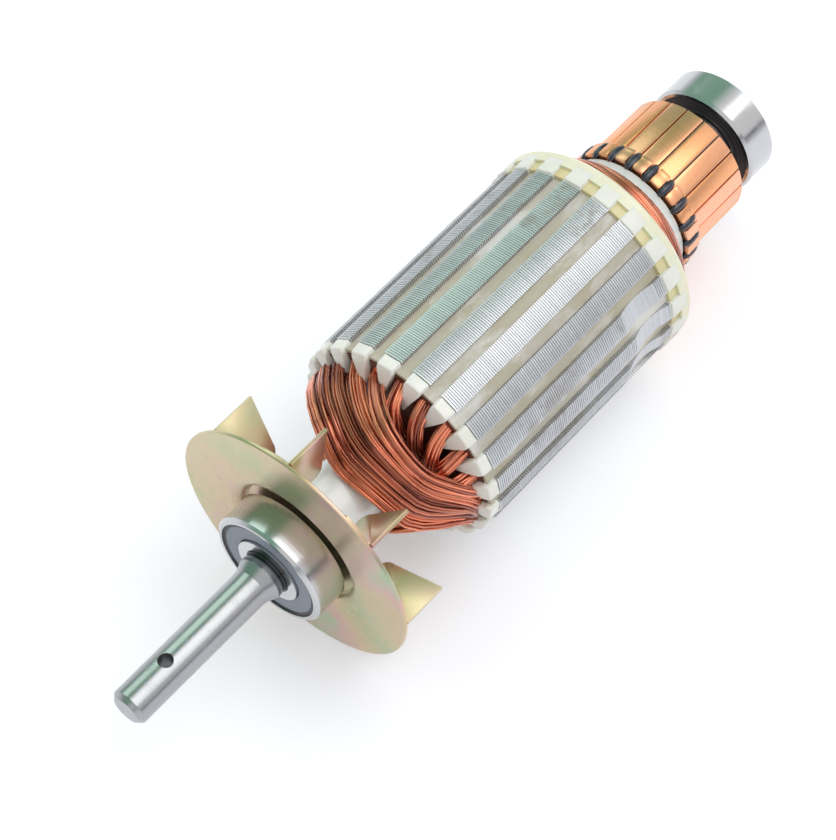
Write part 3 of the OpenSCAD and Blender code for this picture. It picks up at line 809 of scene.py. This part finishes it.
# wires led from the band into the hooks
hook = dict(count=21, slitAngle=61, front=-107.4, back=-111.4, fold=0.8, top=15.5, under=15.16, half=1.29,
            running=14.4, wire=0.36, lean=0.15, seed=4)
barStep = 360 / hook["count"]
hookAngle = hook["slitAngle"] + barStep / 2
rng = random.Random(hook["seed"])
paths = []
for k in range(hook["count"]):
    a = hookAngle + k * barStep
    for n in (0, 1):
        x = hook["front"] - hook["fold"] - (n + 0.55) * 0.76
        lean = rng.uniform(-hook["lean"], hook["lean"])
        half = [(-106.5, 14.1, 2.3), (-107.2, 14.5 + 0.2 * n, 2.1 + lean), (-107.9, 14.85, 1.9),
                (x + 0.3, 15.0, 1.6), (x, 14.8, 1.2)]
        plan = [(px, pr, -pt) for px, pr, pt in half] + [(x, 14.78, 0.0)] + half[::-1]
        paths.append([ringPoint(px, pr, a, pt) for px, pr, pt in rounded(plan, 3)])
leads = wires("hookLeads", paths, hook["wire"], leadCopper, 6, 14)
standFor(leads, "enamelled_copper", "lead_wires")


# commutator: one bar with its folded hook, bevelled, turned round the shaft
print("commutator")
bar = dict(front=-107.4, back=-127.2, outer=14.4, inner=9.6, slit=0.32, arc=6, bevel=0.1, hookBevel=0.16)


def barMesh():
    half = barStep / 2
    outer, inner = [], []
    for k in range(bar["arc"] + 1):
        s = -1 + 2 * k / bar["arc"]
        for r, ring in ((bar["outer"], outer), (bar["inner"], inner)):
            a = s * (half - math.degrees(bar["slit"] / 2 / r))
            ring.append(ringPoint(0, r, a)[1:])
    body = prism("commutatorBars", outer + inner[::-1], bar["back"], bar["front"], "along")
    bevelled(body, bar["bevel"], 2, 50)
    top, under, run = hook["top"], hook["under"], hook["running"]
    front, back = hook["front"], hook["back"]
    profile = [(front, run - 0.4), (front, top - 0.55), (front - 0.16, top - 0.16), (front - 0.55, top),
               (back + 1.9, top), (back + 1.4, top - 0.1), (back + 0.9, top - 0.06), (back + 0.3, top - 0.02),
               (back, top - 0.2), (back + 0.05, under - 0.08), (back + 0.4, under - 0.12), (front - 0.95, under),
               (front - hook["fold"] - 0.08, under - 0.1), (front - hook["fold"], under - 0.3),
               (front - hook["fold"], run - 0.4)]
    bent = prism("hook", profile, -hook["half"], hook["half"])
    bevelled(bent, bar["hookBevel"], 2, 50)
    joined = bmesh.new()
    joined.from_mesh(body.data)
    joined.from_mesh(bent.data)
    joined.to_mesh(body.data)
    joined.free()
    bpy.data.objects.remove(bent)
    return body


bars = aroundShaft(barMesh(), hook["count"], hookAngle, barStep, copperBars, 17)
smooth(bars, 40)
standFor(bars, "bar_copper", "commutator_bars")


# beads of resin between the hooks
lump = dict(middle=-109.0, radius=14.8, length=2.55, height=1.0, half=1.1, uneven=0.07, seed=2)


def beadMesh():
    made = bmesh.new()
    bmesh.ops.create_uvsphere(made, u_segments=14, v_segments=8, radius=mm)
    rng = random.Random(lump["seed"])
    for v in made.verts:
        x, y, z = v.co / mm
        x, y, z = (c * (1 + rng.uniform(-lump["uneven"], lump["uneven"])) for c in (x * lump["length"], y, z))
        v.co = Vector((lump["middle"] + x, lump["radius"] + y * lump["height"] - 0.03 * x, z * lump["half"])) * mm
    bmesh.ops.recalc_face_normals(made, faces=made.faces)
    mesh = bpy.data.meshes.new("resinLumps")
    made.to_mesh(mesh)
    made.free()
    return makeObject("resinLumps", mesh)


resin = aroundShaft(beadMesh(), hook["count"], hook["slitAngle"], barStep, darkMoulding, 19)
smooth(resin, 80)
standFor(resin, "dark_moulding")


# fan disc: pressed from sheet, with a rounded mouth round the bearing and a soft rim
mouth = dict(front=-3.4, rim=28.2, sheet=0.8, depth=2.2, bore=5.02, flare=16.6, recess=14.0, arc=7, sides=160)
blade = dict(merge=1e-7, flat=0.5, bevel=0.16)


def discMesh():
    x, t, rim, floor = mouth["front"], mouth["sheet"], mouth["rim"], mouth["front"] - mouth["depth"]
    bore, recess, flare = mouth["bore"], mouth["recess"], mouth["flare"]
    turns = [math.pi / 2 * k / mouth["arc"] for k in range(mouth["arc"] + 1)]
    soft = [(recess + (flare - recess) * (1 - math.sin(a)), x - (mouth["depth"] - 0.3) * (1 - math.cos(a)))
            for a in turns]
    edge = [(rim - 0.12, x - 0.03), (rim, x - 0.25), (rim, x - t + 0.15), (rim - 0.15, x - t)]
    rear = [(r + 0.35, px - t) for r, px in soft] + [(recess + t, floor - t), (bore, floor - t)]
    pan = [(bore, floor), (recess - 0.35, floor), (recess, floor + 0.3)]
    return revolved("fanDisc", edge + rear + pan + soft[::-1][1:], passivate, mouth["sides"])


def bladeMesh():
    made = bmesh.new()
    made.from_mesh(nodes["fan_blades"].data)
    bmesh.ops.remove_doubles(made, verts=made.verts, dist=blade["merge"])
    bmesh.ops.dissolve_limit(made, angle_limit=math.radians(blade["flat"]), verts=made.verts, edges=made.edges)
    mesh = bpy.data.meshes.new("fanBlades")
    made.to_mesh(mesh)
    made.free()
    blades = makeObject("fanBlades", mesh, passivate)
    bevelled(blades, blade["bevel"], 2, 60)
    return smooth(blades, 30)


standFor(discMesh(), "passivated_steel", "fan_disc")
standFor(bladeMesh(), "passivated_steel", "fan_blades")


# the solids whose shape is right get their finishes
print("carried solids")
# coil_sides and comm_end_winding take the near-black copper with painted shade
dress = dict(shaft=shaftSteel, bearing_inner_rings=innerSteel, drive_outer_ring=ringSteel, comm_outer_ring=ringSteel,
             drive_balls=ballSteel, comm_balls=ballSteel, drive_cage=cageSteel, comm_cage=cageSteel,
             drive_seals=greySeal, comm_seals=blackSeal,
             shaft_sleeve=whiteSleeve, slot_liners=linerFilm, slot_wedges=wedgeFilm, comm_end_insulator=whitePads,
             end_ring=yellowRing, coil_sides=shadedCoilFill, comm_end_winding=shadedCoilFill, lead_band=tape,
             commutator_hub=darkMoulding)
for name, material in dress.items():
    for place in nodes[name].material_slots:
        place.material = material


# floor that the fan rim and the end ring stand on, sky, lamps and camera
print("studio")
studio = dict(fanFoot=(-3.4, -28.2), ringFoot=(-97.0, -24.4), floorSize=6.0, floorTone=(0.93, 0.94, 0.98),
              skyLevel=0.72, glossLevel=0.92, floorGlow=0.24,
              skyBands=((0.0, (0.8, 0.8, 0.85)), (0.045, (0.7, 0.7, 0.75)), (0.055, (0.2, 0.21, 0.24)),
                        (0.075, (0.28, 0.29, 0.31)), (0.1, (1.0, 1.0, 1.0)), (0.48, (1.0, 1.0, 1.0)),
                        (0.54, (0.7, 0.82, 0.78)), (0.6, (0.3, 0.53, 0.39)), (0.92, (0.33, 0.54, 0.43)),
                        (0.98, (0.85, 0.85, 0.9))))


def floorMaterial():
    f = Finish("paleFloor", Roughness=0.6)
    grain = f.noise(40, 3)
    f.colour(f.mix(grain * 0.3, studio["floorTone"], tuple(c * 0.985 for c in studio["floorTone"])))
    f.shader.inputs["Emission Color"].default_value = (1, 1, 1, 1)
    seen = f.node("ShaderNodeLightPath").op("MAXIMUM", f.node("ShaderNodeLightPath", out=3))
    f.feed(f.shader.inputs["Emission Strength"], seen * studio["floorGlow"])
    return f.bump(grain, 0.02, 0.0005)


fanX, fanZ = studio["fanFoot"]
ringX, ringZ = studio["ringFoot"]
slope = (ringZ - fanZ) / (ringX - fanX)
reach = studio["floorSize"] / mm / 2
corners = [(sx * reach, sy * reach, fanZ + slope * (sx * reach - fanX))
           for sx, sy in ((-1, -1), (1, -1), (1, 1), (-1, 1))]
floor = makeObject("floor", meshFrom("floor", corners, [(0, 1, 2, 3)]), floorMaterial())


def sky():
    world = bpy.data.worlds.new("studioSky")
    bpy.context.scene.world = world
    world.use_nodes = True
    tree = world.node_tree

    def add(kind, out=0, sockets=None, **settings):
        made = tree.nodes.new(kind)
        for key, value in settings.items():
            setattr(made, key, value)
        for key, value in (sockets or {}).items():
            if isinstance(value, bpy.types.NodeSocket):
                tree.links.new(value, made.inputs[key])
            else:
                made.inputs[key].default_value = value
        return made.outputs[out]

    split = tree.nodes.new("ShaderNodeSeparateXYZ")
    tree.links.new(add("ShaderNodeTexCoord"), split.inputs[0])
    turn = add("ShaderNodeMath", 0, {0: split.outputs["Z"], 1: split.outputs["Y"]}, operation="ARCTAN2")
    bands = tree.nodes.new("ShaderNodeValToRGB")
    tree.links.new(add("ShaderNodeMath", 0, {0: turn, 1: math.pi}, operation="DIVIDE"), bands.inputs[0])
    ramp = bands.color_ramp
    while len(ramp.elements) < len(studio["skyBands"]):
        ramp.elements.new(0.5)
    for element, (place, colour) in zip(ramp.elements, studio["skyBands"]):
        element.position = place
        element.color = (*colour, 1)
    path = tree.nodes.new("ShaderNodeLightPath")
    level = add("ShaderNodeMath", 0, {0: path.outputs["Is Glossy Ray"], 1: studio["glossLevel"] - studio["skyLevel"],
                                      2: studio["skyLevel"]}, operation="MULTIPLY_ADD")
    shade = tree.nodes["Background"]
    tint = add("ShaderNodeMix", 2, {0: path.outputs["Is Glossy Ray"], 6: (0.97, 0.98, 1.0, 1), 7: bands.outputs[0]},
               data_type="RGBA")
    tree.links.new(tint, shade.inputs["Color"])
    tree.links.new(level, shade.inputs["Strength"])
    white = add("ShaderNodeBackground", 0, {"Color": (1, 1, 1, 1)})
    seen = add("ShaderNodeMath", 0, {0: path.outputs["Is Camera Ray"], 1: path.outputs["Is Transmission Ray"]},
               operation="MAXIMUM")
    mixed = add("ShaderNodeMixShader", 0, {0: seen, 1: shade.outputs[0], 2: white})
    tree.links.new(mixed, tree.nodes["World Output"].inputs["Surface"])


sky()


def softbox(name, place, aim, width, height, power, tint=(1, 1, 1)):
    lamp = bpy.data.lights.new(name, "AREA")
    lamp.shape = "RECTANGLE"
    lamp.size = width
    lamp.size_y = height
    lamp.energy = power
    lamp.color = tint
    obj = bpy.data.objects.new(name, lamp)
    obj.location = place
    obj.rotation_euler = (Vector(aim) - Vector(place)).to_track_quat("-Z", "Y").to_euler()
    bpy.context.scene.collection.objects.link(obj)


centre = (-0.05, 0, 0)
softbox("mainBox", (-0.3, 0.3, 0.8), centre, 0.7, 0.7, 2.4)
softbox("sideBox", (-0.3, -0.6, 0.6), centre, 0.5, 0.5, 1.0, (0.85, 1.0, 0.92))

view = dict(place=(171.504, 180.429, 435.998), right=(-0.64875, 0.76100, 0.0), up=(-0.64127, -0.54669, 0.53843),
            ahead=(-0.40974, -0.34931, -0.84267), lens=112.69, sensor=36)
cam = bpy.data.cameras.new("camera")
cam.lens = view["lens"]
cam.sensor_width = view["sensor"]
cam.clip_start = 0.01
eye = bpy.data.objects.new("camera", cam)
bpy.context.scene.collection.objects.link(eye)
axes = Matrix((view["right"], view["up"], tuple(-c for c in view["ahead"]))).transposed().to_4x4()
eye.matrix_world = Matrix.Translation(Vector(view["place"]) * mm) @ axes
bpy.context.scene.camera = eye
bpy.context.scene.view_settings.view_transform = "Standard"
